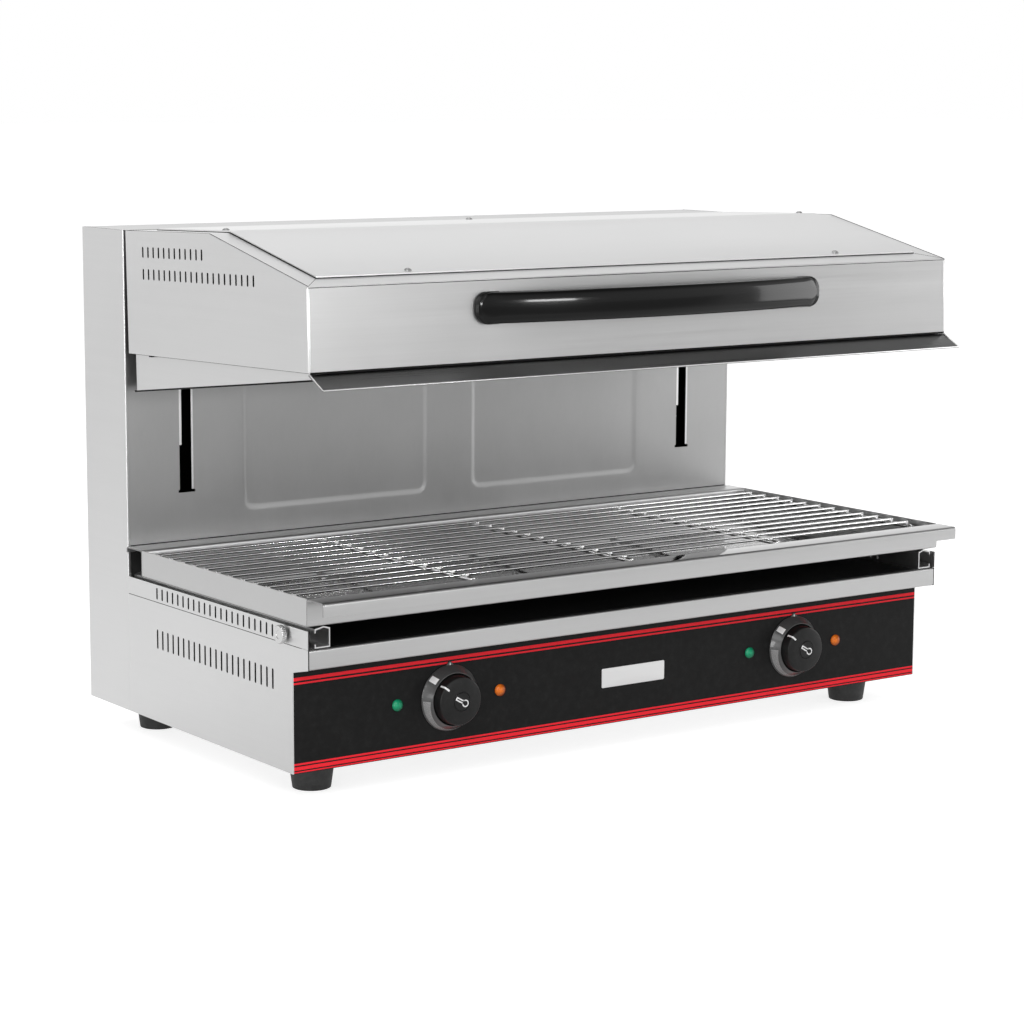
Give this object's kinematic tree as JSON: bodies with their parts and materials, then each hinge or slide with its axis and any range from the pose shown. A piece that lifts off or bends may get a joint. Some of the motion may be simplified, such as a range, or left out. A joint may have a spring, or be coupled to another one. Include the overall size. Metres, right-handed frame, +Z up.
{
  "type": "cheese melter",
  "caption": "Table-top cheese melter with a dial base, sliding drip tray, wire rack and a heated head with a bow handle that rides on a rear column.",
  "frame": {"origin": "on the worktop under the middle of the whole machine's box, head raised as pictured, tray in", "axes": "+X to the right seen from the front, along the width; the front (dials and handle) faces -Y; +Z up"},
  "size_m": [0.8132, 0.5018, 0.5354],
  "materials": {
    "stainless_satin": "satin brushed",
    "stainless_bright": "bright",
    "rack_wire": "bright",
    "panel_black": "satin",
    "frame_black": "matt",
    "badge_metal": "satin",
    "ring_plastic": "satin",
    "knob_plastic": "satin",
    "pointer_white": "satin",
    "spindle_steel": "turned",
    "thermostat_case": "moulded",
    "lamp_green": "translucent",
    "lamp_amber": "translucent",
    "porcelain": "glazed",
    "gland_nylon": "moulded",
    "rubber_black": "matt",
    "screw_steel": "zinc plated",
    "thumb_steel": "nickel plated",
    "rod_steel": "ground",
    "plate_steel": "zinc grey",
    "bush_brass": "turned",
    "heater_sheath": "heat tinted",
    "hanger_steel": "dull",
    "fibre_mat": "ceramic fibre",
    "bulb_copper": "drawn",
    "clip_black": "moulded",
    "handle_black": "gloss"
  },
  "bodies": {
    "base": {"base_left_side": "stainless_satin", "base_right_side": "stainless_satin", "base_floor": "stainless_satin", "base_top_plate": "stainless_satin", "control_panel": "panel_black", "badge_plate": "badge_metal", "dial_rings": "ring_plastic", "thermostats": "thermostat_case", "power_lamps": "lamp_green", "heat_lamps": "lamp_amber", "terminal_block": "porcelain", "cable_gland": "gland_nylon", "rubber_feet": "rubber_black", "foot_screws": "screw_steel", "column_left_side": "stainless_satin", "column_right_side": "stainless_satin", "column_back_cover": "stainless_satin", "back_panel": "stainless_satin", "rear_cross_member": "frame_black", "guide_rods": "rod_steel", "rod_clamps": "plate_steel", "strut_cylinders": "frame_black", "slotted_rails": "stainless_satin", "tray_runners": "stainless_satin", "casing_screws": "screw_steel"},
    "head": {"head_left_side": "stainless_satin", "head_right_side": "stainless_satin", "head_front_panel": "stainless_satin", "head_top_frame": "stainless_satin", "head_top_cover": "stainless_satin", "head_rear_plate": "stainless_satin", "front_visor": "stainless_satin", "heater_side_skirts": "stainless_satin", "heater_rear_skirt": "stainless_satin", "heater_front_skirt": "stainless_satin", "reflector": "stainless_bright", "insulation": "fibre_mat", "left_elements": "heater_sheath", "right_elements": "heater_sheath", "element_terminals": "porcelain", "element_hangers": "hanger_steel", "sensor_bulbs": "bulb_copper", "cover_screws": "screw_steel", "side_clips": "clip_black", "handle": "handle_black", "head_bolts": "screw_steel", "lift_arms": "plate_steel", "carriage": "plate_steel", "guide_bushes": "bush_brass", "strut_rods": "rod_steel"},
    "tray": {"drip_tray": "stainless_bright"},
    "rack": {"wire_rack": "rack_wire"},
    "left_dial": {"left_knob": "knob_plastic", "left_pointer": "pointer_white", "left_spindle": "spindle_steel"},
    "right_dial": {"right_knob": "knob_plastic", "right_pointer": "pointer_white", "right_spindle": "spindle_steel"},
    "left_thumb": {"left_thumb_screw": "thumb_steel"},
    "right_thumb": {"right_thumb_screw": "thumb_steel"}
  },
  "joints": [
    {"name": "head_lift", "type": "slide", "parent": "base", "child": "head", "axis": [0, 0, 1], "range_m": [-0.12, 0]},
    {"name": "tray_slide", "type": "slide", "parent": "base", "child": "tray", "axis": [0, -1, 0], "range_m": [0, 0.25]},
    {"name": "rack_lift", "type": "slide", "parent": "tray", "child": "rack", "axis": [0, 0, 1], "range_m": [0, 0.03]},
    {"name": "left_dial", "type": "hinge", "parent": "base", "child": "left_dial", "pos_m": [-0.222, -0.1821, 0.082], "axis": [0, 1, 0], "range_deg": [0, 310]},
    {"name": "right_dial", "type": "hinge", "parent": "base", "child": "right_dial", "pos_m": [0.222, -0.1821, 0.082], "axis": [0, 1, 0], "range_deg": [0, 310]},
    {"name": "left_thumb_turn", "type": "hinge", "parent": "base", "child": "left_thumb", "pos_m": [-0.4, -0.1678, 0.163], "axis": [-1, 0, 0], "range_deg": [0, 360]},
    {"name": "right_thumb_turn", "type": "hinge", "parent": "base", "child": "right_thumb", "pos_m": [0.4, -0.1678, 0.163], "axis": [1, 0, 0], "range_deg": [0, 360]}
  ]
}
